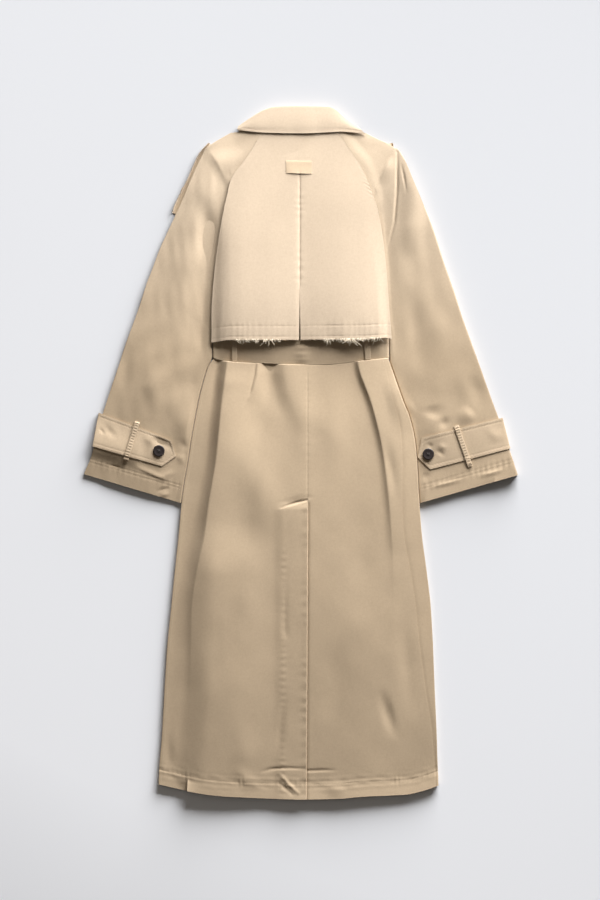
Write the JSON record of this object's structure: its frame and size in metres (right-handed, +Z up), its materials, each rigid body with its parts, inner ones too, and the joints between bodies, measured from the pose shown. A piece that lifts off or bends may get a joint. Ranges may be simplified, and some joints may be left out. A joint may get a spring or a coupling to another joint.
{
  "type": "duster coat",
  "caption": "Long belted duster coat lying flat, back up: raglan sleeves with cuff straps, storm flap with a raw lower edge, turned-down collar, back vent",
  "frame": {"origin": "on the surface that the coat lies on, under the middle of the box round the whole coat", "axes": "+Z up, away from the surface; +Y from the hem toward the collar; +X toward the wearer's right side, because the coat lies with its back up"},
  "size_m": [0.7803, 1.2459, 0.0155],
  "materials": {
    "duster_cloth": "matt plain-woven cotton, pale beige, lightly creased, with a soft bloom along edges",
    "duster_cloth_front": "the same matt beige cotton, on the side that lies on the surface",
    "trim_cloth": "the same beige cotton, doubled and edge-stitched",
    "frayed_thread": "loose pale cotton threads of a raw edge",
    "dark_button": "near-black brown moulded button with a soft gloss"
  },
  "bodies": {
    "root": {"back_left": "duster_cloth", "back_right": "duster_cloth", "belt": "trim_cloth", "belt_loop_left": "trim_cloth", "belt_loop_right": "trim_cloth", "collar": "duster_cloth", "collar_point_left": "duster_cloth_front", "collar_point_right": "duster_cloth_front", "cuff_button_left": "dark_button", "cuff_button_right": "dark_button", "cuff_strap_left": "trim_cloth", "cuff_strap_right": "trim_cloth", "epaulette_left": "trim_cloth", "epaulette_loop_left": "trim_cloth", "epaulette_loop_right": "trim_cloth", "epaulette_right": "trim_cloth", "frayed_edge_left": "frayed_thread", "frayed_edge_right": "frayed_thread", "front_left": "duster_cloth_front", "front_right": "duster_cloth_front", "neck_tab": "trim_cloth", "sleeve_left": "duster_cloth", "sleeve_right": "duster_cloth", "storm_flap_left": "duster_cloth", "storm_flap_right": "duster_cloth", "strap_loop_left": "trim_cloth", "strap_loop_right": "trim_cloth"}
  },
  "joints": []
}
